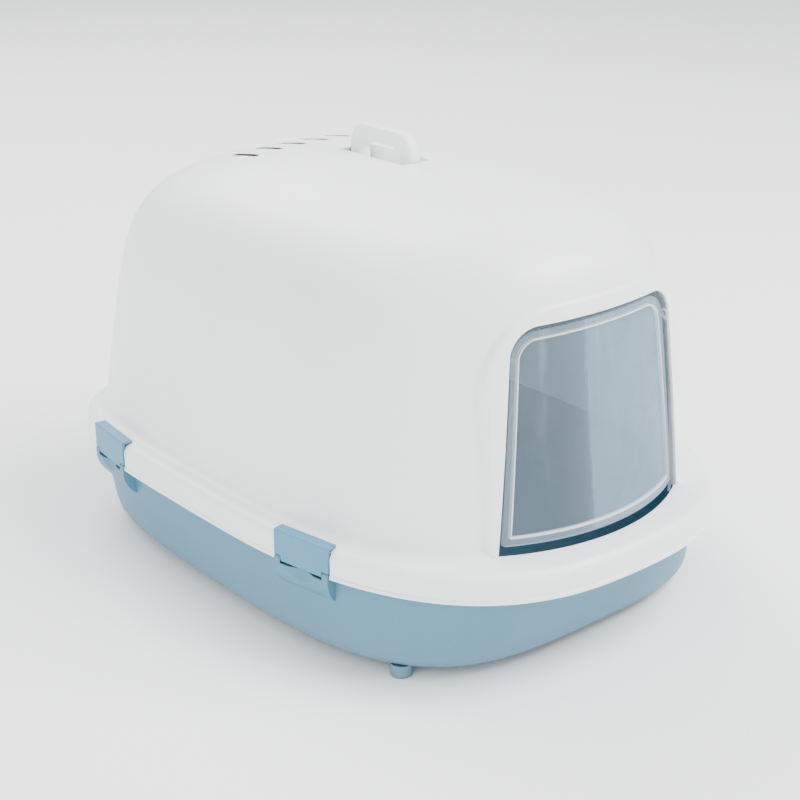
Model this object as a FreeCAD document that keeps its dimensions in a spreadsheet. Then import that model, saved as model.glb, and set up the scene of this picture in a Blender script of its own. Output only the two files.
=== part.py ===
import FreeCAD, Part
import Sketcher
import math
import os

# Cat litter box with hood. Millimetres, +Z up, front (door) towards -Y.
# Origin: centre of the footprint, on the floor under the feet.

os.makedirs("parts", exist_ok=True)

doc = FreeCAD.newDocument("litter_box")
V = FreeCAD.Vector

SIZES = {
    # overall
    "HalfWidth": 199.4,         # plan outline of the skirt, without its bead
    "HalfLength": 278.1,
    "DomeTop": 340.0,           # height of the hood above the floor
    "Wall": 2.5,                # moulded wall thickness everywhere
    "SeatGap": 0.3,             # gap between a piece and what it rests on
    # hood flange and skirt
    "SkirtBottom": 75.0,
    "FlangeTop": 98.0,
    "FlangeRound": 8.0,
    "UnderRound": 4.0,
    "BeadHeight": 3.0,
    "BeadProud": 0.8,
    "DripLip": 7.0,
    # hood body at flange height
    "BodyHalfWidth": 179.1,
    "BodyFront": 239.6,
    "BodyRear": 267.9,
    # door surround and doorway
    "PanelHalfWidth": 103.0,
    "PanelCornerY": 224.7,
    "PanelBow": 31.4,
    "PanelTopBow": 17.0,
    "PanelTopY": 210.8,
    "PanelTop": 281.0,
    "PanelRound": 5.0,
    "PanelCorner": 60.0,          # radius of its upper corners, seen from the front
    "DoorHalfBottom": 98.5,
    "DoorHalfTop": 85.0,
    "DoorTop": 268.0,
    "DoorCorner": 24.0,
    # flap
    "FlapGapSide": 4.5,
    "FlapGapTop": 5.0,
    "FlapGapBottom": 6.0,
    "FlapThick": 2.6,
    "FlapBorder": 6.5,
    "FlapRecess": 1.0,
    "FlapInset": 4.7,
    "FlapPivotZ": 243.0,
    "PinRadius": 1.5,
    "PinClearance": 0.08,
    # tray
    "BaseHeight": 9.0,
    "BaseHalfWidth": 190.5,
    "BaseFront": 236.0,
    "BaseRear": 269.0,
    "BaseRound": 11.0,
    "RimHalfWidth": 191.5,
    "RimFront": 263.0,
    "RimRear": 272.5,
    "RimLip": 194.9,
    "RimLipThick": 3.0,
    "RimLipChamfer": 1.8,
    "FootRadius": 8.5,
    "FootX": 152.0,
    "FootFrontY": 181.0,
    "FootRearY": 200.0,
    # clips
    "ClipWidth": 55.0,
    "ClipThick": 2.6,
    "ClipPivotZ": 76.0,
    "ClipFrontY": 112.2,
    "ClipRearY": 156.6,
    "ClipLip": 7.0,
    "ClipPivotOut": -2.2,       # pivot, measured outward from the skirt outline
    "BarrelRadius": 2.5,
    "EarRadius": 3.2,
    "EarThick": 6.0,
    # handle
    "HandleCentreY": 18.3,
    "HandleLength": 78.0,
    "HandlePivotZ": 332.0,
    "HandleTop": 362.0,
    "HandleBar": 13.0,
    "HandleThick": 12.0,
    "WellHalfWidth": 15.0,
    # vents and filter
    "VentCount": 6.0,
    "VentPitch": 24.7,
    "VentLong": 36.0,
    "VentWide": 6.0,
    "VentY": 127.5,
    "FilterLong": 62.0,
    "FilterWide": 170.0,
    "FilterThick": 8.0,
    "HolderTop": 308.0,
    "HolderDepth": 12.0,
}

sheet = doc.addObject("Spreadsheet::Sheet", "Sizes")
for row, (alias, value) in enumerate(SIZES.items(), start=1):
    sheet.set("A%d" % row, alias)
    sheet.set("B%d" % row, str(value))
    sheet.setAlias("B%d" % row, alias)
doc.recompute()


def size(alias):
    return float(getattr(sheet, alias))


# ---------------------------------------------------------------- plan curves
FRONT_POWER = 2.635
REAR_POWER = 4.3
CURVE_POINTS = 64


def plan_points(half_width, front, rear, height, front_power, rear_power):
    """Points of a rounded plan outline, fuller at the rear than at the front."""
    points = []
    for step in range(CURVE_POINTS):
        angle = 2.0 * math.pi * (step + 0.5) / CURVE_POINTS
        c, s = math.cos(angle), math.sin(angle)
        power = front_power if s < 0 else rear_power
        reach = front if s < 0 else rear
        x = half_width * math.copysign(abs(c) ** (2.0 / power), c)
        y = reach * math.copysign(abs(s) ** (2.0 / power), s)
        points.append(V(x, y, height))
    return points


def closed_wire(points):
    curve = Part.BSplineCurve()
    curve.interpolate(points, PeriodicFlag=True)
    return Part.Wire([curve.toShape()])


def plan_wire(half_width, front, rear, height, powers=(FRONT_POWER, REAR_POWER)):
    return closed_wire(plan_points(half_width, front, rear, height, *powers))


def skirt_wire(inset, height):
    return plan_wire(size("HalfWidth") - inset, size("HalfLength") - inset,
                     size("HalfLength") - inset, height)


def prism(wire, height):
    return Part.Face(wire).extrude(V(0, 0, height))


def edges_at(shape, height, tolerance=0.05):
    """Edges lying wholly in the horizontal plane at one height."""
    found = []
    for edge in shape.Edges:
        box = edge.BoundBox
        if abs(box.ZMin - height) < tolerance and abs(box.ZMax - height) < tolerance:
            found.append(edge)
    return found


# ---------------------------------------------------------------------- tray
BASE_POWERS = (3.4, 3.25)       # front and rear fullness of the plan, at the base and the rim
RIM_POWERS = (2.75, 4.3)


def tray_shell(inset, base, top, rounding):
    """Tapered tub between two heights, with a rounded bottom edge."""
    span = size("FlangeTop") - size("Wall") - size("SeatGap") - size("BaseHeight")
    wires = []
    for height in (base, 0.5 * (base + top), top):
        rise = (height - size("BaseHeight")) / span
        wires.append(plan_wire(
            size("BaseHalfWidth") + rise * (size("RimHalfWidth") - size("BaseHalfWidth")) - inset,
            size("BaseFront") + rise * (size("RimFront") - size("BaseFront")) - inset,
            size("BaseRear") + rise * (size("RimRear") - size("BaseRear")) - inset,
            height, (BASE_POWERS[0] + rise * (RIM_POWERS[0] - BASE_POWERS[0]),
                     BASE_POWERS[1] + rise * (RIM_POWERS[1] - BASE_POWERS[1]))))
    tub = Part.makeLoft(wires, True)
    return tub.makeFillet(rounding, edges_at(tub, base))


def outline_frame(y):
    """Point on the skirt outline at one y, and its outward direction, on the +X side."""
    power = FRONT_POWER if y < 0 else REAR_POWER
    a, b = size("HalfWidth"), size("HalfLength")
    x = a * (1.0 - (abs(y) / b) ** power) ** (1.0 / power)
    nx = (x / a) ** (power - 1.0) / a
    ny = math.copysign((abs(y) / b) ** (power - 1.0) / b, y)
    turn = math.degrees(math.atan2(ny, nx))
    return V(x, y, 0), turn


def clip_placements():
    """Placement of each clip's own frame: x outward, y along the edge, z up."""
    places = {}
    for end, y in (("front", -size("ClipFrontY")), ("rear", size("ClipRearY"))):
        point, turn = outline_frame(y)
        right = FreeCAD.Placement(point, FreeCAD.Rotation(V(0, 0, 1), turn))
        left = FreeCAD.Placement(V(-point.x, point.y, 0),
                                 FreeCAD.Rotation(V(0, 0, 1), 180.0 - turn))
        places["clip_%s_right" % end] = right
        places["clip_%s_left" % end] = left
    return places


LUG_ROOT = -14.5                # how far in the lug reaches, into the tray wall
LUG_DROP = 24.0                 # height of the bulge under the clip


def clip_lug():
    """Lug on the tray for one clip, in the clip's own frame: a bulge and two ears."""
    half = 0.5 * size("ClipWidth")
    pivot_z = size("ClipPivotZ")
    top = pivot_z - size("BarrelRadius") - 0.6
    outer = size("ClipPivotOut") + size("EarRadius")
    inner = LUG_ROOT
    profile = Part.Wire([
        Part.makeLine(V(inner, 0, top), V(outer, 0, top)),
        Part.Arc(V(outer, 0, top),
                 V(outer - 0.22 * (outer - inner), 0, top - 0.55 * LUG_DROP),
                 V(inner, 0, top - LUG_DROP)).toShape(),
        Part.makeLine(V(inner, 0, top - LUG_DROP), V(inner, 0, top)),
    ])
    lug = Part.Face(profile).extrude(V(0, 2.0 * half, 0))
    lug.translate(V(0, -half, 0))
    scoop = Part.makeSphere(26.0, V(outer + 22.5, 0, top + 2.0))
    lug = lug.cut(scoop)
    for side in (-1, 1):
        start = half - size("EarThick") if side > 0 else -half
        ear = Part.makeCylinder(size("EarRadius"), size("EarThick"),
                                V(size("ClipPivotOut"), start, pivot_z), V(0, 1, 0))
        web = Part.makeBox(size("ClipPivotOut") - inner, size("EarThick"), 2.0 * size("EarRadius"),
                           V(inner, start, pivot_z - size("EarRadius")))
        foot = Part.makeBox(outer - inner, size("EarThick"), pivot_z - top + 1.0,
                            V(inner, start, top - 1.0))
        lug = lug.fuse([ear, web, foot])
    bore = Part.makeCylinder(size("PinRadius") + size("PinClearance"), 2.0 * half - 4.0,
                             V(size("ClipPivotOut"), -half + 2.0, pivot_z), V(0, 1, 0))
    return lug.cut(bore).removeSplitter()


def make_tray():
    top = size("FlangeTop") - size("Wall") - size("SeatGap")
    outer = tray_shell(0.0, size("BaseHeight"), top, size("BaseRound"))
    inner = tray_shell(size("Wall"), size("BaseHeight") + size("Wall"), top + 1.0,
                       size("BaseRound") - size("Wall"))
    solid = outer.cut(inner)
    lip_under = top - size("RimLipThick")
    grow = size("HalfWidth") - size("RimLip")
    lip = prism(skirt_wire(grow, lip_under), size("RimLipThick"))
    lip = lip.makeChamfer(size("RimLipChamfer"), edges_at(lip, top))
    solid = solid.fuse(lip.cut(tray_shell(1.0, lip_under - 2.0, top + 1.0, 0.5)))
    for x in (-size("FootX"), size("FootX")):
        for y in (-size("FootFrontY"), size("FootRearY")):
            foot = Part.makeCylinder(size("FootRadius"), size("BaseHeight") + 1.5, V(x, y, 0))
            solid = solid.fuse(foot.makeFillet(1.2, edges_at(foot, 0.0)))
    for place in clip_placements().values():
        lug = clip_lug()
        lug.Placement = place
        solid = solid.fuse(lug.cut(inner))
    return solid


# ---------------------------------------------------------------------- hood
BODY_STEPS = (0.0, 0.08, 0.18, 0.30, 0.44, 0.57, 0.68, 0.77, 0.84,
              0.895, 0.935, 0.962, 0.98, 0.991, 0.9965)


def body_sizes(k):
    """Half width, front and rear reach of the hood body at one share of its height."""
    width = size("BodyHalfWidth") * (1.0 - 0.161 * k) * (1.0 - k ** 9.2) ** 0.5
    front = size("BodyFront") * (1.0 - 0.064 * k) * (1.0 - k ** 12.8) ** 0.5
    rear = size("BodyRear") * (1.0 - 0.034 * k) * (1.0 - k ** 7.1) ** 0.5
    return width, front, rear


def body_wire(k, outset, height):
    width, front, rear = body_sizes(k)
    powers = (2.75 - 0.49 * k + 1.21 * k * (1.0 - k), 4.56 - 1.51 * k)
    return plan_wire(width + outset, front + outset, rear + outset, height, powers)


def drip_bottom():
    return size("FlangeTop") - size("Wall") - size("DripLip")


def body_loft(inset):
    """Domed hood body as a loft of plan outlines that draw in towards the top."""
    foot = size("FlangeTop")
    rise = size("DomeTop") - foot
    below = 1.0 if inset else 0.0
    wires = [body_wire(0.0, -inset, drip_bottom() - below)]
    for k in BODY_STEPS:
        height = foot + k * rise - inset * min(1.0, k / 0.6)
        wires.append(body_wire(k, -inset * (1.0 - 0.5 * k ** 12), height))
    return Part.makeLoft(wires, True)


def cove_loft():
    """Rounded root where the hood body rises from the flange."""
    radius = 8.0
    foot = size("FlangeTop")
    rise = size("DomeTop") - foot
    wires = []
    for height, out in ((-1.0, 8.0), (0.0, 7.6), (0.6, 4.9), (2.0, 2.7), (4.0, 1.0), (6.5, 0.1),
                        (10.0, -0.9)):
        scale = radius / 8.0
        wires.append(body_wire(max(height, 0.0) / rise, out * scale, foot + height * scale))
    return Part.makeLoft(wires, True, True)


def panel_y(x, z):
    """Front surface of the door surround: bowed low down, nearly flat at the top."""
    share = (z - size("FlangeTop")) / (size("PanelTop") - size("FlangeTop"))
    corner = size("PanelCornerY") + share * (size("PanelTopY") - size("PanelCornerY"))
    bow = size("PanelBow") + share * (size("PanelTopBow") - size("PanelBow"))
    return -(corner + bow * (1.0 - (x / size("PanelHalfWidth")) ** 2))


def panel_section(z, half, near, far_y):
    """Closed plan wire at one height: the bowed surface moved back by near, to far_y."""
    left = V(-half, panel_y(half, z) + near, z)
    middle = V(0, panel_y(0, z) + near, z)
    right = V(half, panel_y(half, z) + near, z)
    far_right = V(half, far_y, z)
    far_left = V(-half, far_y, z)
    return Part.Wire([
        Part.Arc(left, middle, right).toShape(),
        Part.makeLine(right, far_right),
        Part.makeLine(far_right, far_left),
        Part.makeLine(far_left, left),
    ])


def panel_solid(near, half, low, high, far_y):
    """Solid between two heights, from the bowed surface to a plane at far_y."""
    return Part.makeLoft([panel_section(low, half, near, far_y),
                          panel_section(high, half, near, far_y)], True, True)


PANEL_BACK = -120.0             # plane inside the hood where the surround's solid ends
PANEL_FRONT = -262.0            # plane ahead of everything the surround replaces
PANEL_PROUD = 0.3               # surround stands this far ahead of the body cut for it


def door_half(z):
    share = (z - size("FlangeTop")) / (size("FlapPivotZ") - size("FlangeTop"))
    return size("DoorHalfBottom") + share * (size("DoorHalfTop") - size("DoorHalfBottom"))


def door_cutter():
    """Tapered doorway with rounded upper corners, running front to back."""
    low, high = size("FlangeTop"), size("DoorTop")
    corners = [V(-door_half(low), PANEL_FRONT, low), V(door_half(low), PANEL_FRONT, low),
               V(door_half(high), PANEL_FRONT, high), V(-door_half(high), PANEL_FRONT, high)]
    solid = Part.Face(Part.makePolygon(corners + corners[:1])).extrude(V(0, 110, 0))
    upper = [e for e in solid.Edges
             if abs(e.BoundBox.ZMin - high) < 0.1 and e.BoundBox.YLength > 100]
    return solid.makeFillet(size("DoorCorner"), upper)


def flap_pivot_y():
    edge = door_half(size("FlapPivotZ")) - size("FlapGapSide")
    return panel_y(edge, size("FlapPivotZ")) + size("FlapInset") + 0.5 * size("FlapThick")


def bore_radius():
    return size("PinRadius") + size("PinClearance")


def surround_outline(grow, high):
    """Front view of the door surround as a deep prism: upright, with round upper corners."""
    half = size("PanelHalfWidth") + grow
    block = Part.makeBox(2.0 * half, PANEL_BACK + 10.0 - PANEL_FRONT, high - 60.0,
                         V(-half, PANEL_FRONT - 5.0, 60.0))
    upper = [e for e in block.Edges
             if e.BoundBox.ZMin > high - 0.1 and e.BoundBox.YLength > 100.0]
    return block.makeFillet(size("PanelCorner") + grow, upper)


def surround_solid(inset, low, high):
    """Solid of the door surround, inset behind its face and inside its outline."""
    raw = panel_solid(inset, size("PanelHalfWidth") + 3.0, low, high + 3.0, PANEL_BACK)
    return raw.common(surround_outline(-inset, high))


def make_rim():
    """Flange and skirt of the hood, with the notches that clear the four clips."""
    wall = size("Wall")
    low, top = size("SkirtBottom"), size("FlangeTop")
    rim = prism(skirt_wire(0.0, low), top - low)
    rim = rim.makeFillet(size("FlangeRound"), edges_at(rim, top))
    bead = prism(skirt_wire(-size("BeadProud"), low), size("BeadHeight"))
    bead = bead.makeFillet(0.6, edges_at(bead, low + size("BeadHeight")))
    under = prism(skirt_wire(wall, low - 1.0), top - wall - low + 1.0)
    under = under.makeFillet(size("UnderRound"), edges_at(under, top - wall))
    rim = rim.fuse(bead).cut(under)
    notch_half = 0.5 * size("ClipWidth") + 0.6
    for place in clip_placements().values():
        skirt_cut = Part.makeBox(20.0, 2.0 * notch_half, top - wall - low + 1.0,
                                 V(-12.0, -notch_half, low - 1.0))
        edge_cut = Part.makeBox(12.0, 2.0 * notch_half, top - low + 2.0,
                                V(-2.6, -notch_half, low - 1.0))
        for cutter in (skirt_cut, edge_cut):
            cutter.Placement = place
            rim = rim.cut(cutter)
    return rim


def vent_cutters():
    """Row of round-ended slots through the top of the hood."""
    cutters = []
    count = int(round(size("VentCount")))
    radius = 0.5 * size("VentWide")
    half_run = 0.5 * size("VentLong") - radius
    low = size("HolderTop") + 4.0
    for index in range(count):
        x = (index - 0.5 * (count - 1)) * size("VentPitch")
        start, end = V(x, size("VentY") - half_run, low), V(x, size("VentY") + half_run, low)
        across = V(radius, 0, 0)
        outline = Part.Wire([
            Part.makeLine(start + across, end + across),
            Part.Arc(end + across, end + V(0, radius, 0), end - across).toShape(),
            Part.makeLine(end - across, start - across),
            Part.Arc(start - across, start - V(0, radius, 0), start + across).toShape(),
        ])
        cutters.append(Part.Face(outline).extrude(V(0, 0, 60)))
    return cutters


def well_box(grow, low):
    """Recess for the handle's legs, grown on every side, from a height upwards."""
    half_x = size("WellHalfWidth") + grow
    half_y = 0.5 * size("HandleLength") + 1.0 + grow
    return Part.makeBox(2.0 * half_x, 2.0 * half_y, size("DomeTop") + 10.0 - low,
                        V(-half_x, size("HandleCentreY") - half_y, low))


def side_cylinder(side, near, length, radius, y, z):
    """Cylinder along X that starts at one distance from the middle, on one side."""
    start = near if side > 0 else -near - length
    return Part.makeCylinder(radius, length, V(start, y, z), V(1, 0, 0))


HANGER_THICK = 3.0
HANGER_GAP = 0.6


def hanger_x():
    return 0.5 * size("FilterWide") + 3.0 + HANGER_GAP


def holder_pivot():
    """Height and front-to-back position of the filter holder's hinge line."""
    return (size("VentY") - 0.5 * size("FilterLong") + 1.0, size("HolderTop") - 5.5)


def make_hood():
    wall = size("Wall")
    half = size("PanelHalfWidth")
    low, top = size("FlangeTop"), size("PanelTop")
    outer = body_loft(0.0)
    inner = body_loft(wall)
    ahead = panel_solid(PANEL_PROUD, half - PANEL_PROUD, low, top + 6.0, PANEL_FRONT)
    block = surround_solid(0.0, low - 1.0, top)
    rounded = [e for e in block.Edges
               if e.BoundBox.YMax < PANEL_BACK - 5.0 and e.BoundBox.ZMax > low]
    block = block.makeFillet(size("PanelRound"), rounded)
    body = outer.fuse(block).fuse(cove_loft().cut(ahead))
    # hollow: the body's inside and the space behind the door surround
    hollow = inner.fuse(surround_solid(wall, drip_bottom() - 1.0, top - wall - 1.5))
    shell = make_rim().fuse(body).cut(hollow)
    # ribs, bosses and the well block that carry the filter holder, flap and handle
    well_floor = size("HandlePivotZ") - 0.5 * size("HandleThick") - 0.5
    hinge_y, hinge_z = holder_pivot()
    boss_x = door_half(size("FlapPivotZ")) - 1.0
    shell = shell.fuse(well_box(wall, well_floor - wall).common(outer))
    for side in (-1, 1):
        rib_x = side * hanger_x() - (HANGER_THICK if side < 0 else 0.0)
        rib = Part.makeBox(HANGER_THICK, size("FilterLong") + 8.0, 60.0,
                           V(rib_x, hinge_y - 5.0, hinge_z - 5.0))
        shell = shell.fuse(rib.common(outer))
        boss = side_cylinder(side, boss_x, 9.0, 4.5, flap_pivot_y(), size("FlapPivotZ"))
        shell = shell.fuse(boss.cut(ahead))
    cutters = vent_cutters()
    cutters.append(well_box(0.0, well_floor))
    cutters.append(door_cutter())
    for side in (-1, 1):
        cutters.append(side_cylinder(side, boss_x - 0.5, 7.5, bore_radius(), flap_pivot_y(),
                                     size("FlapPivotZ")))
        cutters.append(side_cylinder(side, hanger_x() - 1.0, HANGER_THICK + 2.0, bore_radius(),
                                     hinge_y, hinge_z))
        end = 0.5 * size("HandleLength") + 0.5
        start = size("HandleCentreY") + (end if side > 0 else -end - 4.0)
        cutters.append(Part.makeCylinder(bore_radius(), 4.0, V(0, start, size("HandlePivotZ")),
                                         V(0, 1, 0)))
    for cutter in cutters:
        shell = shell.cut(cutter)
    return shell


# ---------------------------------------------------------------------- flap
def bowed_slab(near, thick):
    """Sheet of even thickness that follows the door surround's bowed surface."""
    half = size("PanelHalfWidth") - 2.0
    low, high = size("FlangeTop"), size("PanelTop")
    wires = []
    for z in (low, high):
        front = [V(x, panel_y(x, z) + near, z) for x in (-half, 0.0, half)]
        back = [point + V(0, thick, 0) for point in front]
        wires.append(Part.Wire([
            Part.Arc(*front).toShape(),
            Part.makeLine(front[2], back[2]),
            Part.Arc(*reversed(back)).toShape(),
            Part.makeLine(back[0], front[0]),
        ]))
    return Part.makeLoft(wires, True, True)


def flap_outline(border, corner, foot_corner):
    """The flap's front view as a deep prism: a tapered shape with rounded corners."""
    low = size("FlangeTop") + size("FlapGapBottom") + border
    high = size("DoorTop") - size("FlapGapTop") - border
    gap = size("FlapGapSide") + border
    corners = [V(-door_half(low) + gap, PANEL_FRONT, low), V(door_half(low) - gap, PANEL_FRONT, low),
               V(door_half(high) - gap, PANEL_FRONT, high), V(-door_half(high) + gap, PANEL_FRONT, high)]
    solid = Part.Face(Part.makePolygon(corners + corners[:1])).extrude(V(0, 90, 0))
    for height, radius in ((high, corner), (low, foot_corner)):
        long_edges = [e for e in solid.Edges
                      if abs(e.BoundBox.ZMin - height) < 0.1 and e.BoundBox.ZLength < 0.1
                      and e.BoundBox.YLength > 80.0]
        solid = solid.makeFillet(radius, long_edges)
    return solid


def make_flap():
    near, thick = size("FlapInset"), size("FlapThick")
    corner = size("DoorCorner") - 3.0
    border = size("FlapBorder")
    edge = door_half(size("FlapPivotZ")) - size("FlapGapSide")
    reach = door_half(size("FlapPivotZ")) + 5.5
    flap = bowed_slab(near, thick).common(flap_outline(0.0, corner, 3.0))
    recess = bowed_slab(near - 1.0, size("FlapRecess") + 1.0)
    flap = flap.cut(recess.common(flap_outline(border, corner - border + 1.0, 1.5)))
    centre = V(0, flap_pivot_y(), size("FlapPivotZ"))
    for side in (-1, 1):
        knuckle = side_cylinder(side, edge - 5.0, 6.5, 2.9, centre.y, centre.z)
        pin = side_cylinder(side, edge - 3.0, reach - edge + 3.0, size("PinRadius"),
                            centre.y, centre.z)
        flap = flap.fuse(knuckle).fuse(pin)
    return flap


# ------------------------------------------------- bodies built from sketches
def origin_plane(body, role):
    for feature in body.Origin.OriginFeatures:
        if feature.Role == role:
            return feature
    raise ValueError("no origin plane " + role)


def new_sketch(body, name, role, offset="0"):
    sketch = body.newObject("Sketcher::SketchObject", name)
    sketch.AttachmentSupport = [(origin_plane(body, role), "")]
    sketch.MapMode = "FlatFace"
    sketch.setExpression("AttachmentOffset.Base.z", offset)
    return sketch


def value_of(text):
    return float(sheet.evalExpression(text))

def add_polygon(sketch, corners):
    """Closed polygon whose every corner is placed by a pair of sheet expressions."""
    points = [V(value_of(u), value_of(v), 0) for u, v in corners]
    count = len(points)
    first = sketch.GeometryCount
    for index, point in enumerate(points):
        sketch.addGeometry(Part.LineSegment(point, points[(index + 1) % count]), False)
    for index in range(count):
        after = first + (index + 1) % count
        sketch.addConstraint(Sketcher.Constraint("Coincident", first + index, 2, after, 1))
    for index, corner in enumerate(corners):
        for kind, text in zip(("DistanceX", "DistanceY"), corner):
            which = sketch.addConstraint(
                Sketcher.Constraint(kind, -1, 1, first + index, 1, value_of(text)))
            sketch.setExpression("Constraints[%d]" % which, text)


def rectangle(u_low, v_low, u_high, v_high):
    return [(u_low, v_low), (u_high, v_low), (u_high, v_high), (u_low, v_high)]


def add_circle(sketch, u, v, radius):
    """Circle whose centre and radius are sheet expressions."""
    circle = Part.Circle(V(value_of(u), value_of(v), 0), V(0, 0, 1), value_of(radius))
    number = sketch.addGeometry(circle, False)
    for kind, text in (("DistanceX", u), ("DistanceY", v)):
        which = sketch.addConstraint(Sketcher.Constraint(kind, -1, 1, number, 3, value_of(text)))
        sketch.setExpression("Constraints[%d]" % which, text)
    which = sketch.addConstraint(Sketcher.Constraint("Radius", number, value_of(radius)))
    sketch.setExpression("Constraints[%d]" % which, radius)


def add_feature(body, kind, name, sketch, length, symmetric=True):
    feature = body.newObject("PartDesign::" + kind, name)
    feature.Profile = sketch
    feature.SideType = "Symmetric" if symmetric else "One side"
    feature.setExpression("Length", length)
    sketch.Visibility = False
    return feature


def make_clip(name, placement):
    """Clip: plate with a hooked lip on top and a pinned barrel at its foot."""
    body = doc.addObject("PartDesign::Body", name)
    body.Label = name
    pivot_x = "Sizes.ClipPivotOut"
    inner = "Sizes.ClipPivotOut + 0.1"
    outer = "Sizes.ClipPivotOut + 0.1 + Sizes.ClipThick"
    shoulder = "Sizes.ClipPivotZ + Sizes.EarRadius + 0.4"
    lip_under = "Sizes.FlangeTop + Sizes.SeatGap"
    lip_top = "Sizes.FlangeTop + Sizes.SeatGap + 2.2"
    lip_end = "Sizes.ClipPivotOut + 0.1 - Sizes.ClipLip"
    profile = new_sketch(body, name + "_profile", "XZ_Plane")
    add_polygon(profile, [(outer, shoulder), (outer, lip_top), (lip_end, lip_top),
                          (lip_end, lip_under), (inner, lip_under), (inner, shoulder)])
    add_feature(body, "Pad", name + "_plate", profile, "Sizes.ClipWidth")
    web = new_sketch(body, name + "_web_outline", "XZ_Plane")
    add_polygon(web, rectangle(inner, "Sizes.ClipPivotZ", outer, shoulder + " + 1"))
    middle = "Sizes.ClipWidth - 2 * Sizes.EarThick - 1"
    add_feature(body, "Pad", name + "_web", web, middle)
    barrel = new_sketch(body, name + "_barrel_outline", "XZ_Plane")
    add_circle(barrel, pivot_x, "Sizes.ClipPivotZ", "Sizes.BarrelRadius")
    add_feature(body, "Pad", name + "_barrel", barrel, middle)
    pin = new_sketch(body, name + "_pin_outline", "XZ_Plane")
    add_circle(pin, pivot_x, "Sizes.ClipPivotZ", "Sizes.PinRadius")
    pins = add_feature(body, "Pad", name + "_pins", pin, "Sizes.ClipWidth - 5")
    doc.recompute()
    top = value_of(lip_top)
    corner_x = value_of(outer)
    soften = [
        "Edge%d" % number for number, edge in enumerate(pins.Shape.Edges, start=1)
        if abs(edge.BoundBox.ZMin - top) < 0.01 and abs(edge.BoundBox.XMin - corner_x) < 0.01
        and abs(edge.BoundBox.ZMax - top) < 0.01 and edge.BoundBox.YLength > 30.0
    ]
    fillet = body.newObject("PartDesign::Fillet", name + "_soft_edge")
    fillet.Base = (pins, soften)
    fillet.Radius = 1.6
    body.Placement = placement
    return body


def make_handle():
    """Carry handle: an arch along the box with a pin at the foot of each leg."""
    body = doc.addObject("PartDesign::Body", "handle")
    body.Label = "handle"
    half = "Sizes.HandleLength / 2"
    rise = "Sizes.HandleTop - Sizes.HandlePivotZ"
    foot = "-Sizes.HandleThick / 2"
    outline = new_sketch(body, "handle_outline", "YZ_Plane")
    add_polygon(outline, rectangle("-" + half, foot, half, rise))
    blank = add_feature(body, "Pad", "handle_blank", outline, "Sizes.HandleThick")
    doc.recompute()

    def edges_where(shape, test):
        return ["Edge%d" % n for n, e in enumerate(shape.Edges, start=1) if test(e.BoundBox)]

    top = value_of(rise)
    shoulders = body.newObject("PartDesign::Fillet", "handle_shoulders")
    shoulders.Base = (blank, edges_where(blank.Shape, lambda b: b.ZMin > top - 0.01
                                         and b.XLength > 5.0))
    shoulders.Radius = 20.0
    doc.recompute()
    pin = new_sketch(body, "handle_pin_outline", "XZ_Plane")
    add_circle(pin, "0", "0", "Sizes.PinRadius")
    add_feature(body, "Pad", "handle_pins", pin, "Sizes.HandleLength + 8")
    doc.recompute()
    gap = new_sketch(body, "handle_gap_outline", "YZ_Plane")
    inner = "(Sizes.HandleLength / 2 - Sizes.HandleBar)"
    add_polygon(gap, [("-" + inner, foot + " - 4"), (inner, foot + " - 4"),
                      (inner, rise + " - Sizes.HandleBar - 8"),
                      (inner + " - 8", rise + " - Sizes.HandleBar"),
                      ("-(" + inner + " - 8)", rise + " - Sizes.HandleBar"),
                      ("-" + inner, rise + " - Sizes.HandleBar - 8")])
    opening = add_feature(body, "Pocket", "handle_gap", gap, "Sizes.HandleThick + 4")
    doc.recompute()
    low = value_of(foot)
    soles = body.newObject("PartDesign::Fillet", "handle_soles")
    soles.Base = (opening, edges_where(opening.Shape, lambda b: b.ZMax < low + 0.01
                                       and b.YLength > 5.0))
    soles.Radius = 5.7
    doc.recompute()
    grip = body.newObject("PartDesign::Fillet", "handle_grip")
    grip.Base = (soles, edges_where(soles.Shape, lambda b: b.ZMin > top - 0.01
                                    and b.YLength > 20.0))
    grip.Radius = 3.5
    body.Placement = FreeCAD.Placement(V(0, size("HandleCentreY"), size("HandlePivotZ")),
                                       FreeCAD.Rotation())
    body.setExpression("Placement.Base.y", "Sizes.HandleCentreY")
    body.setExpression("Placement.Base.z", "Sizes.HandlePivotZ")
    return body


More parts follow.
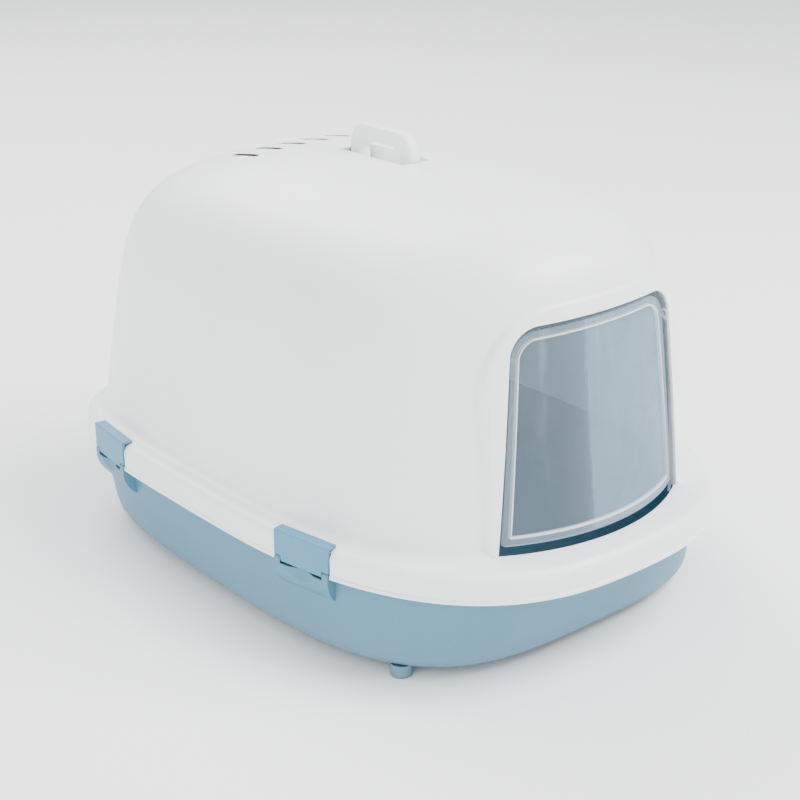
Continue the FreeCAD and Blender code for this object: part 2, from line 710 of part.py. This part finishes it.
def make_filter_holder():
    """Open-topped cassette with a slotted floor that hangs under the vents."""
    body = doc.addObject("PartDesign::Body", "filter_holder")
    body.Label = "filter_holder"
    half_x = "(Sizes.FilterWide / 2 + 3)"
    half_y = "(Sizes.FilterLong / 2 + 3)"
    outline = new_sketch(body, "holder_outline", "XY_Plane")
    add_polygon(outline, rectangle("-" + half_x, "-" + half_y, half_x, half_y))
    add_feature(body, "Pad", "holder_block", outline, "Sizes.HolderDepth", False)
    pin = new_sketch(body, "holder_pin_outline", "YZ_Plane")
    add_circle(pin, "-Sizes.FilterLong / 2 + 1", "Sizes.HolderDepth - 5.5", "Sizes.PinRadius")
    add_feature(body, "Pad", "holder_pins", pin, "2 * " + half_x + " + 4")
    doc.recompute()
    room = new_sketch(body, "holder_room_outline", "XY_Plane", "2")
    add_polygon(room, rectangle("-(Sizes.FilterWide / 2 + 0.6)", "-(Sizes.FilterLong / 2 + 0.6)",
                                "Sizes.FilterWide / 2 + 0.6", "Sizes.FilterLong / 2 + 0.6"))
    pocket = add_feature(body, "Pocket", "holder_room", room, "Sizes.HolderDepth", False)
    pocket.Reversed = True
    doc.recompute()
    slot = new_sketch(body, "holder_slot_outline", "XY_Plane")
    add_polygon(slot, rectangle("-Sizes.FilterWide / 2 + 6", "-Sizes.FilterLong / 2 + 7",
                                "-Sizes.FilterWide / 2 + 12", "Sizes.FilterLong / 2 - 7"))
    first = add_feature(body, "Pocket", "holder_slot", slot, "8")
    doc.recompute()
    pattern = body.newObject("PartDesign::LinearPattern", "holder_slots")
    pattern.Originals = [first]
    pattern.Direction = (slot, ["H_Axis"])
    pattern.Length = size("FilterWide") - 18.0
    pattern.setExpression("Length", "Sizes.FilterWide - 18")
    pattern.Occurrences = 13
    body.Tip = pattern
    body.setExpression("Placement.Base.y", "Sizes.VentY")
    body.setExpression("Placement.Base.z", "Sizes.HolderTop - Sizes.HolderDepth")
    return body


def make_carbon_filter():
    """Foam pad that lies in the holder."""
    body = doc.addObject("PartDesign::Body", "carbon_filter")
    body.Label = "carbon_filter"
    outline = new_sketch(body, "filter_outline", "XY_Plane")
    add_polygon(outline, rectangle("-Sizes.FilterWide / 2", "-Sizes.FilterLong / 2",
                                   "Sizes.FilterWide / 2", "Sizes.FilterLong / 2"))
    pad = add_feature(body, "Pad", "filter_pad", outline, "Sizes.FilterThick", False)
    doc.recompute()
    upright = ["Edge%d" % n for n, e in enumerate(pad.Shape.Edges, start=1)
               if e.BoundBox.ZLength > 1.0]
    fillet = body.newObject("PartDesign::Fillet", "filter_corners")
    fillet.Base = (pad, upright)
    fillet.Radius = 4.0
    body.setExpression("Placement.Base.y", "Sizes.VentY")
    body.setExpression("Placement.Base.z",
                       "Sizes.HolderTop - Sizes.HolderDepth + 2 + Sizes.SeatGap")
    return body


def add_solid(name, shape):
    """Free-form piece whose shape is worked out above from the sheet."""
    feature = doc.addObject("Part::Feature", name)
    feature.Label = name
    feature.Shape = shape
    return feature


def main():
    pieces = [add_solid("flap", make_flap()), make_handle(), make_filter_holder(),
              make_carbon_filter()]
    for name, placement in clip_placements().items():
        pieces.append(make_clip(name, placement))
    pieces.append(add_solid("hood", make_hood()))
    pieces.append(add_solid("tray", make_tray()))
    doc.recompute()
    for item in doc.Objects:
        if "Invalid" in item.State or "Error" in item.State:
            raise RuntimeError("%s did not compute: %s" % (item.Label, item.State))
    for piece in pieces:
        shape = piece.Shape
        if shape.isNull() or not shape.isValid() or len(shape.Solids) != 1:
            raise RuntimeError("%s is not one valid solid" % piece.Label)
        shape.exportStep(os.path.join("parts", piece.Label + ".step"))
        print(piece.Label, round(shape.Volume / 1000.0, 2), "cm3")


main()
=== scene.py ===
"""Finishes, fine detail, light and camera for a hooded cat litter box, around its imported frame."""

import logging
import math
from dataclasses import dataclass, field
from enum import Enum
from typing import Any, Dict, List, Sequence, Tuple, Union

import bpy
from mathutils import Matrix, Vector

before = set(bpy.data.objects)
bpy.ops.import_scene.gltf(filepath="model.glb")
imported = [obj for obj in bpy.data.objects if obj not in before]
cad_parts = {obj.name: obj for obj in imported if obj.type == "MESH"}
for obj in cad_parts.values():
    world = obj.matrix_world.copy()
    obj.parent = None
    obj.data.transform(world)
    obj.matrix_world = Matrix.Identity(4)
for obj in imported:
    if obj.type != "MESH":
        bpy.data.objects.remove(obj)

LOG = logging.getLogger("litter_box")
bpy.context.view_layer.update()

BLACK = (0.0, 0.0, 0.0)
PLASTIC_IOR = 1.49
INWARD_BLUR = 0.02              # metres over which a face turns from outward to inward
AO_SAMPLES = 8
# GAP_OPEN to CREVICE_SHADE set the painted shade laid into gaps, corners and joins between parts
GAP_OPEN, GAP_TIGHT = 0.58, 0.22
CREVICE_REACH = 0.010           # metres within which a wall darkens a gap
CREVICE_DEPTH = 0.85            # how far a tight gap darkens
CREVICE_SHADE = 0.16            # colour left in a tight gap
# SLOT_SHADE is the painted shadow colour on the walls of the vent slots
SLOT_SHADE = 0.10               # colour left on the walls of a slot
SLOT_BLUR = 0.0005
DUST_TOP = 0.045                # height that dust reaches up the tub
DUST = (0.34, 0.31, 0.27)
SCUFF_WHITE = 0.35              # how far a scuff pales the plastic
BORDER_BLUR = 0.0004            # softness of the flap's border, in metres
# LINE_INNER and LINE_OUTER place a painted highlight line along the border's step
LINE_INNER = (0.0014, 0.0006)   # where the border's bright line starts and is full
LINE_OUTER = (0.0012, 0.0004)   # where it ends and is last full
MOST_VEILED = 0.95
SENSOR_WIDTH = 36.0
WELD_REACH = 1e-6

Colour = Tuple[float, float, float]
Value = Union[float, int, "Wire"]


# ------------------------------------------------------------------ shader maths
@dataclass(frozen=True)
class Wire:
    """One output in a node tree. Arithmetic on it adds Math nodes."""

    graph: "Graph"
    socket: Any

    def _math(self, operation: str, first: Value, second: Value) -> "Wire":
        """Adds one Math node.

        Args:
            operation: the Math node's operation.
            first: upper input.
            second: lower input.

        Returns:
            The node's value.
        """
        return self.graph.wire("ShaderNodeMath", {"operation": operation}, {0: first, 1: second})

    def __add__(self, other: Value) -> "Wire":
        """Sum."""
        return self._math("ADD", self, other)

    def __radd__(self, other: Value) -> "Wire":
        """Sum with a plain number first."""
        return self._math("ADD", other, self)

    def __sub__(self, other: Value) -> "Wire":
        """Difference."""
        return self._math("SUBTRACT", self, other)

    def __rsub__(self, other: Value) -> "Wire":
        """Difference with a plain number first."""
        return self._math("SUBTRACT", other, self)

    def __mul__(self, other: Value) -> "Wire":
        """Product."""
        return self._math("MULTIPLY", self, other)

    def __rmul__(self, other: Value) -> "Wire":
        """Product with a plain number first."""
        return self._math("MULTIPLY", other, self)

    def __pow__(self, other: Value) -> "Wire":
        """Power."""
        return self._math("POWER", self, other)

    def __rpow__(self, other: Value) -> "Wire":
        """Power with a plain number first."""
        return self._math("POWER", other, self)

    def at_most(self, other: Value) -> "Wire":
        """Smaller of the two."""
        return self._math("MINIMUM", self, other)

    def at_least(self, other: Value) -> "Wire":
        """Larger of the two."""
        return self._math("MAXIMUM", self, other)

    def ramp(self, low: float, high: float) -> "Wire":
        """Smooth step from 0 at low to 1 at high, or the other way round if low is the larger.

        Args:
            low: value where the step starts.
            high: value where it ends.

        Returns:
            The stepped value.
        """
        settings = {"interpolation_type": "SMOOTHSTEP", "clamp": True}
        ends = (low, high, 0.0, 1.0) if low < high else (high, low, 1.0, 0.0)
        return self.graph.wire("ShaderNodeMapRange", settings,
                               {"Value": self, "From Min": ends[0], "From Max": ends[1],
                                "To Min": ends[2], "To Max": ends[3]})


class Graph:
    """The node tree of one material, made a node at a time."""

    def __init__(self, name: str) -> None:
        """Starts an empty material of that name."""
        self.material = bpy.data.materials.new(name)
        self.material.use_nodes = True
        self.tree = self.material.node_tree
        self.tree.nodes.clear()

    def add(self, kind: str, settings: Dict[str, Any], sockets: Dict[Any, Any]) -> Any:
        """Adds one node.

        Args:
            kind: the node's type.
            settings: properties, set before any socket.
            sockets: value or link of each input, by name or number.

        Returns:
            The node.
        """
        node = self.tree.nodes.new(kind)
        for name, value in settings.items():
            setattr(node, name, value)
        for key, value in sockets.items():
            socket = node.inputs[key]
            if isinstance(value, Wire):
                self.tree.links.new(value.socket, socket)
            elif socket.type == "RGBA" and len(value) == 3:
                socket.default_value = (*value, 1.0)
            else:
                socket.default_value = value
        return node

    def wire(self, kind: str, settings: Dict[str, Any], sockets: Dict[Any, Any],
             output: Union[int, str] = 0) -> Wire:
        """Adds one node and takes one of its outputs.

        Args:
            kind: the node's type.
            settings: properties, set before any socket.
            sockets: value or link of each input.
            output: name or number of the output wanted.

        Returns:
            That output.
        """
        return Wire(self, self.add(kind, settings, sockets).outputs[output])

    def place(self) -> Wire:
        """Position on the piece, in metres of the shared frame at rest."""
        return self.wire("ShaderNodeTexCoord", {}, {}, "Object")

    def split(self, vector: Wire) -> Tuple[Wire, Wire, Wire]:
        """Takes a vector's three parts.

        Args:
            vector: the vector.

        Returns:
            Its x, y and z.
        """
        node = self.add("ShaderNodeSeparateXYZ", {}, {0: vector})
        return tuple(Wire(self, node.outputs[number]) for number in range(3))

    def stretch(self, vector: Wire, factors: Colour) -> Wire:
        """Scales a vector along each axis.

        Args:
            vector: the vector.
            factors: one factor for each axis.

        Returns:
            The scaled vector.
        """
        return self.wire("ShaderNodeVectorMath", {"operation": "MULTIPLY"},
                         {0: vector, 1: factors})

    def facing_in(self, place: Wire, middle: Colour) -> Wire:
        """Finds the faces of a hollow piece that look into its room.

        Args:
            place: position on the piece.
            middle: a point low in the middle of the room.

        Returns:
            1 on the faces that look inwards and 0 on the others.
        """
        normal = self.wire("ShaderNodeTexCoord", {}, {}, "Normal")
        offset = self.wire("ShaderNodeVectorMath", {"operation": "SUBTRACT"},
                           {0: place, 1: middle})
        along = self.wire("ShaderNodeVectorMath", {"operation": "DOT_PRODUCT"},
                          {0: normal, 1: offset}, "Value")
        return along.ramp(0.0, -INWARD_BLUR)

    def painted_gap_shade(self, reach: float) -> Wire:
        """Finds gaps, slots and corners that little light reaches, where shade is painted.

        Args:
            reach: how far away a wall still counts, in metres.

        Returns:
            1 in a tight gap and 0 in the open.
        """
        open_sky = self.wire("ShaderNodeAmbientOcclusion", {"samples": AO_SAMPLES},
                             {"Distance": reach}, "AO")
        return open_sky.ramp(GAP_OPEN, GAP_TIGHT)

    def noise(self, vector: Wire, scale: float, detail: float = 2.0, rough: float = 0.5) -> Wire:
        """Smooth noise from 0 to 1.

        Args:
            vector: where it is sampled.
            scale: features per metre.
            detail: octaves.
            rough: strength of the finer octaves.

        Returns:
            The noise value.
        """
        return self.wire("ShaderNodeTexNoise", {"noise_dimensions": "3D"},
                         {"Vector": vector, "Scale": scale, "Detail": detail, "Roughness": rough})

    def mix(self, factor: Value, first: Any, second: Any) -> Wire:
        """Mixes two colours.

        Args:
            factor: share of the second.
            first: colour or link.
            second: colour or link.

        Returns:
            The mixed colour.
        """
        node = self.add("ShaderNodeMix", {"data_type": "RGBA", "blend_type": "MIX"}, {0: factor})
        for key, value in ((6, first), (7, second)):
            if isinstance(value, Wire):
                self.tree.links.new(value.socket, node.inputs[key])
            else:
                node.inputs[key].default_value = (*value, 1.0)
        return Wire(self, node.outputs[2])

    def bump(self, height: Wire, depth: float, below: Union[Wire, None] = None) -> Wire:
        """Turns a height from 0 to 1 into a normal.

        Args:
            height: the height.
            depth: metres between 0 and 1.
            below: normal that it is laid on.

        Returns:
            The bumped normal.
        """
        sockets: Dict[Any, Any] = {"Height": height, "Strength": 1.0, "Distance": depth}
        if below is not None:
            sockets["Normal"] = below
        return self.wire("ShaderNodeBump", {}, sockets, "Normal")

    def finish(self, shader: Any) -> Any:
        """Ends the tree with its surface.

        Args:
            shader: link of the surface shader.

        Returns:
            The material.
        """
        self.add("ShaderNodeOutputMaterial", {}, {"Surface": shader})
        return self.material


# ------------------------------------------------------------------ finishes
class Grain(Enum):
    """How the mould's surface was left: size of the grain per metre and its depth in metres."""

    SATIN = (900.0, 0.00005)
    MATT = (1500.0, 0.00009)


@dataclass(frozen=True)
class MouldedPlastic:
    """Injection-moulded plastic with grain, flow marks, scuffs and a little dust low down, plus
    painted shade in gaps and on slot walls and a painted glow on inward faces.

    painted_inner_glow is the strength of a painted glow on the faces that look into the room around
    middle, standing in for the faint light that comes through the wall. slots gives a row of
    slots: where it starts and ends along Y, and how low it reaches.
    """

    name: str
    colour: Colour
    deep: Colour
    roughness: float
    grain: Grain
    scuffs: float = 0.5
    dust: float = 0.15
    painted_inner_glow: float = 0.0
    middle: Colour = (0.0, 0.0, 0.02)
    slots: Union[Tuple[float, float, float], None] = None

    def _shade(self, share: float) -> Colour:
        """The plastic's colour with only a share of its light."""
        return tuple(share * part for part in self.colour)

    def _painted_slot_shadow(self, g: Graph, place: Wire) -> Value:
        """Finds the upright walls of a row of slots, where shadow is painted.

        Args:
            g: the material's tree.
            place: position on the piece.

        Returns:
            1 on those walls and 0 elsewhere.
        """
        if self.slots is None:
            return 0.0
        near, far, low = self.slots
        _, along, height = g.split(place)
        _, _, up = g.split(g.wire("ShaderNodeTexCoord", {}, {}, "Normal"))
        upright = up.at_least(0.0 - up).ramp(0.6, 0.4)
        within = along.ramp(near - SLOT_BLUR, near) * along.ramp(far + SLOT_BLUR, far)
        return upright * within * height.ramp(low - SLOT_BLUR, low)

    def build(self) -> Any:
        """Makes the material.

        Returns:
            The material.
        """
        g = Graph(self.name)
        place = g.place()
        _, _, height = g.split(place)
        cloudy = g.noise(place, 9.0, 3.0, 0.55)
        flow = g.noise(g.stretch(place, (1.0, 1.0, 0.22)), 55.0, 4.0, 0.6)
        fine = g.noise(place, self.grain.value[0], 2.0, 0.6)
        scratches = g.noise(g.stretch(place, (1.0, 0.16, 1.0)), 620.0, 2.0, 0.5).ramp(0.66, 0.74)
        patches = g.noise(place, 24.0, 2.0, 0.6).ramp(0.5, 0.68)
        worn = scratches * patches * self.scuffs
        settled = height.ramp(DUST_TOP, 0.0) * g.noise(place, 140.0, 3.0, 0.7) * self.dust
        base = g.mix(cloudy.ramp(0.3, 0.7), self.colour, self.deep)
        base = g.mix(flow.ramp(0.35, 0.75) * 0.22, base, self.deep)
        pale = tuple(SCUFF_WHITE + (1.0 - SCUFF_WHITE) * part for part in self.colour)
        base = g.mix(worn * 0.35, base, pale)
        base = g.mix(settled, base, DUST)
        # painted shade: darkens the colour in gaps, corners and joins between parts
        base = g.mix(g.painted_gap_shade(CREVICE_REACH) * CREVICE_DEPTH, base, self._shade(CREVICE_SHADE))
        # painted shadow on the upright walls of the vent slots
        base = g.mix(self._painted_slot_shadow(g, place), base, self._shade(SLOT_SHADE))
        rough = self.roughness + (cloudy - 0.5) * 0.08 + worn * 0.22 + settled * 0.3
        normal = g.bump(flow, 0.00003)
        normal = g.bump(fine, self.grain.value[1], normal)
        normal = g.bump(scratches * patches, -0.00002 * self.scuffs, normal)
        # Emission paints a glow on the inward faces, in the plastic's colour, standing in for light
        # through the wall
        shader = g.wire("ShaderNodeBsdfPrincipled", {}, {
            "Base Color": base, "Roughness": rough, "Normal": normal, "IOR": PLASTIC_IOR,
            "Specular IOR Level": 0.5, "Emission Strength": self.painted_inner_glow,
            "Emission Color": g.mix(g.facing_in(place, self.middle), BLACK, self.colour)})
        return g.finish(shader)


@dataclass(frozen=True)
class ClearPlastic:
    """Clear moulded sheet with a cool tint, wiping marks and a raised border that shows pale, with a
    painted highlight line along its step.

    The sheet's outline is given by its half width at the foot, how fast that narrows, its
    lowest and highest points and the radius of its upper corners. veil is the least share
    of the light that it reflects, and border is the width of its raised edge.
    """

    name: str
    tint: Colour
    haze: Colour
    veil: float
    roughness: float
    foot_half: float = 0.0934
    taper: float = 0.0931
    low: float = 0.104
    high: float = 0.263
    corner: float = 0.021
    border: float = 0.0065

    def _from_edge(self, g: Graph, place: Wire) -> Wire:
        """Measures how far a point lies inside the sheet's outline.

        Args:
            g: the material's tree.
            place: position on the sheet.

        Returns:
            The distance in metres.
        """
        across, _, height = g.split(place)
        half = self.foot_half - (height - self.low) * self.taper
        out = across.at_least(0.0 - across) - half + self.corner
        up = height - (self.high - self.corner)
        round_part = (out.at_least(0.0) ** 2.0 + up.at_least(0.0) ** 2.0) ** 0.5
        outline = self.corner - round_part - out.at_least(up).at_most(0.0)
        return outline.at_most(height - self.low)

    def build(self) -> Any:
        """Makes the material.

        Returns:
            The material.
        """
        g = Graph(self.name)
        place = g.place()
        wipes = g.noise(g.stretch(place, (1.0, 1.0, 0.10)), 46.0, 4.0, 0.6)
        smears = g.noise(place, 14.0, 3.0, 0.6).ramp(0.46, 0.74)
        waves = g.noise(g.stretch(place, (1.0, 1.0, 0.35)), 22.0, 1.0, 0.4)
        inside = self._from_edge(g, place)
        band = inside.ramp(self.border + BORDER_BLUR, self.border - BORDER_BLUR)
        # painted highlight: a thin near-white, more opaque line along the border's step
        border_highlight = inside.ramp(self.border - LINE_INNER[0], self.border - LINE_INNER[1])
        border_highlight = border_highlight * inside.ramp(self.border + LINE_OUTER[0], self.border + LINE_OUTER[1])
        normal = g.bump(waves, 0.0004)
        gloss = g.wire("ShaderNodeBsdfPrincipled", {}, {
            "Base Color": g.mix(border_highlight, self.haze, (0.93, 0.96, 0.98)),
            "Roughness": self.roughness + wipes * 0.08 + smears * 0.05,
            "Normal": normal, "IOR": 1.5})
        clear = g.wire("ShaderNodeBsdfTransparent", {}, {"Color": self.tint})
        rim = g.wire("ShaderNodeLayerWeight", {}, {"Blend": 0.30, "Normal": normal}, "Fresnel")
        share = (self.veil + rim * 0.45 + wipes.ramp(0.52, 0.78) * 0.10 + smears * 0.03
                 + band * 0.10 + border_highlight * 0.45)
        share = share.at_most(MOST_VEILED)
        shader = g.wire("ShaderNodeMixShader", {}, {0: share, 1: clear, 2: gloss})
        return g.finish(shader)


@dataclass(frozen=True)
class CarbonFoam:
    """Open-cell filter foam, nearly black, with a dull sparkle of carbon and painted shade in its
    pores.
    """

    name: str
    colour: Colour

    def build(self) -> Any:
        """Makes the material.

        Returns:
            The material.
        """
        g = Graph(self.name)
        place = g.place()
        cells = g.wire("ShaderNodeTexVoronoi", {"feature": "F1"},
                       {"Vector": place, "Scale": 620.0}, "Distance")
        speck = g.noise(place, 1900.0, 2.0, 0.6).ramp(0.6, 0.72)
        # pore centres darker than the cell walls: painted shade in the open cells
        base = g.mix(cells.ramp(0.2, 0.7), (0.004, 0.004, 0.005), self.colour)
        base = g.mix(speck * 0.4, base, (0.12, 0.12, 0.13))
        shader = g.wire("ShaderNodeBsdfPrincipled", {}, {
            "Base Color": base, "Roughness": 0.86 - speck * 0.3,
            "Normal": g.bump(cells, 0.0006)})
        return g.finish(shader)


@dataclass(frozen=True)
class StudioFloor:
    """Pale seamless paper."""

    name: str
    colour: Colour

    def build(self) -> Any:
        """Makes the material.

        Returns:
            The material.
        """
        g = Graph(self.name)
        place = g.place()
        fibre = g.noise(place, 300.0, 3.0, 0.6)
        base = g.mix(fibre * 0.2, self.colour, (0.84, 0.85, 0.86))
        shader = g.wire("ShaderNodeBsdfPrincipled", {}, {
            "Base Color": base, "Roughness": 0.75 + fibre * 0.1,
            "Normal": g.bump(fibre, 0.00005)})
        return g.finish(shader)


# ------------------------------------------------------------------ pieces
@dataclass
class Moulding:
    """One or more CAD nodes that come out of the same plastic."""

    nodes: Sequence[str]
    finish: Any
    split_angle: float = 28.0

    def dress(self) -> List[str]:
        """Gives each node its finish and smooth shading that keeps its real edges.

        Returns:
            The names of the nodes dressed.
        """
        material = self.finish.build()
        for name in self.nodes:
            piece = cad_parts[name]
            piece.data.materials.clear()
            piece.data.materials.append(material)
            piece.data.polygons.foreach_set("use_smooth", [True] * len(piece.data.polygons))
            weld = piece.modifiers.new("weld", "WELD")
            weld.merge_threshold = WELD_REACH
            edges = piece.modifiers.new("edges", "EDGE_SPLIT")
            edges.split_angle = math.radians(self.split_angle)
            edges.use_edge_sharp = False
        return list(self.nodes)


@dataclass
class TrayParts:
    """The blue tub and the four clips on it."""

    tray: Colour = (0.080, 0.225, 0.315)
    tray_deep: Colour = (0.073, 0.212, 0.300)
    clip: Colour = (0.078, 0.245, 0.372)
    clip_deep: Colour = (0.072, 0.232, 0.357)
    clips: Sequence[str] = ("clip_front_left", "clip_front_right", "clip_rear_left",
                            "clip_rear_right")

    def build(self) -> List[str]:
        """Dresses the tub and its clips.

        Returns:
            The names of the nodes dressed.
        """
        # 0.10 is the strength of the painted glow on the tub's inward faces
        tub = MouldedPlastic("tray_plastic", self.tray, self.tray_deep, 0.46, Grain.MATT, 0.6, 0.3,
                             0.10, (0.0, 0.0, 0.06))
        clip = MouldedPlastic("clip_plastic", self.clip, self.clip_deep, 0.42, Grain.SATIN, 0.7)
        return Moulding(["tray"], tub).dress() + Moulding(self.clips, clip).dress()


@dataclass
class HoodParts:
    """The white dome, its handle and the filter holder under its vents."""

    white: Colour = (0.94, 0.95, 0.95)
    white_deep: Colour = (0.92, 0.93, 0.935)

    def build(self) -> List[str]:
        """Dresses the hood, the handle and the filter unit.

        Returns:
            The names of the nodes dressed.
        """
        # 0.06 is the strength of the painted glow on the hood's inward faces
        dome = MouldedPlastic("hood_plastic", self.white, self.white_deep, 0.36, Grain.SATIN,
                              0.5, 0.0, 0.06, slots=(0.109, 0.146, 0.318))
        foam = CarbonFoam("carbon_foam", (0.03, 0.03, 0.034))
        return (Moulding(["hood", "handle", "filter_holder"], dome).dress()
                + Moulding(["carbon_filter"], foam).dress())


@dataclass
class FlapParts:
    """The see-through swinging door."""

    tint: Colour = (0.70, 0.82, 0.91)
    haze: Colour = (0.62, 0.71, 0.76)
    veil: float = 0.08

    def build(self) -> List[str]:
        """Dresses the flap.

        Returns:
            The names of the nodes dressed.
        """
        clear = ClearPlastic("clear_plastic", self.tint, self.haze, self.veil, 0.22)
        return Moulding(["flap"], clear).dress()


# ------------------------------------------------------------------ studio
@dataclass
class Studio:
    """Pale floor, soft light from above and both sides, and the camera."""

    eye: Colour = (-0.8485, -0.9980, 0.6525)
    target: Colour = (-0.0158, -0.0195, 0.1376)
    lens: float = 73.93
    floor_half: float = 4.0
    far: float = 50.0
    sky: Colour = (0.95, 0.975, 1.0)
    sky_strength: float = 1.25
    lamp_target: Colour = (0.0, 0.0, 0.15)
    lamps: Sequence[Tuple[str, Colour, float, float]] = field(default_factory=lambda: (
        ("key", (1.1, -1.3, 2.2), 1.5, 125.0),
        ("fill", (-2.2, -0.8, 1.2), 2.0, 36.0),
        ("back", (0.2, 2.0, 2.3), 1.8, 90.0)))

    def _aim(self, thing: Any, start: Colour, end: Colour) -> None:
        """Puts a lamp or camera at start and points it at end.

        Args:
            thing: the object.
            start: its place.
            end: what it points at.
        """
        thing.location = start
        thing.rotation_euler = (Vector(end) - Vector(start)).to_track_quat("-Z", "Y").to_euler()

    def _floor(self) -> None:
        """Lays the floor, level with the feet."""
        half = self.floor_half
        mesh = bpy.data.meshes.new("floor")
        corners = [(-half, -half, 0.0), (half, -half, 0.0), (half, half, 0.0), (-half, half, 0.0)]
        mesh.from_pydata(corners, [], [(0, 1, 2, 3)])
        mesh.materials.append(StudioFloor("floor_paper", (0.97, 0.97, 0.97)).build())
        floor = bpy.data.objects.new("floor", mesh)
        bpy.context.scene.collection.objects.link(floor)

    def _sky(self) -> None:
        """Fills the room with even pale light."""
        world = bpy.data.worlds.new("studio")
        world.use_nodes = True
        background = world.node_tree.nodes["Background"]
        background.inputs["Color"].default_value = (*self.sky, 1.0)
        background.inputs["Strength"].default_value = self.sky_strength
        bpy.context.scene.world = world

    def build(self) -> List[str]:
        """Makes floor, light and camera.

        Returns:
            The names of the lamps.
        """
        self._floor()
        self._sky()
        for name, spot, width, power in self.lamps:
            light = bpy.data.lights.new(name, "AREA")
            light.shape = "SQUARE"
            light.size = width
            light.energy = power
            lamp = bpy.data.objects.new(name, light)
            bpy.context.scene.collection.objects.link(lamp)
            self._aim(lamp, spot, self.lamp_target)
        lens = bpy.data.cameras.new("camera")
        lens.lens = self.lens
        lens.sensor_width = SENSOR_WIDTH
        lens.clip_end = self.far
        camera = bpy.data.objects.new("camera", lens)
        bpy.context.scene.collection.objects.link(camera)
        self._aim(camera, self.eye, self.target)
        bpy.context.scene.camera = camera
        return [row[0] for row in self.lamps]


def main() -> None:
    """Builds the studio and every sub-assembly in order."""
    logging.basicConfig(level=logging.INFO, format="%(message)s")
    for part in (Studio(), TrayParts(), HoodParts(), FlapParts()):
        LOG.info("%s: %s", type(part).__name__, ", ".join(part.build()))


if __name__ == "__main__":
    main()
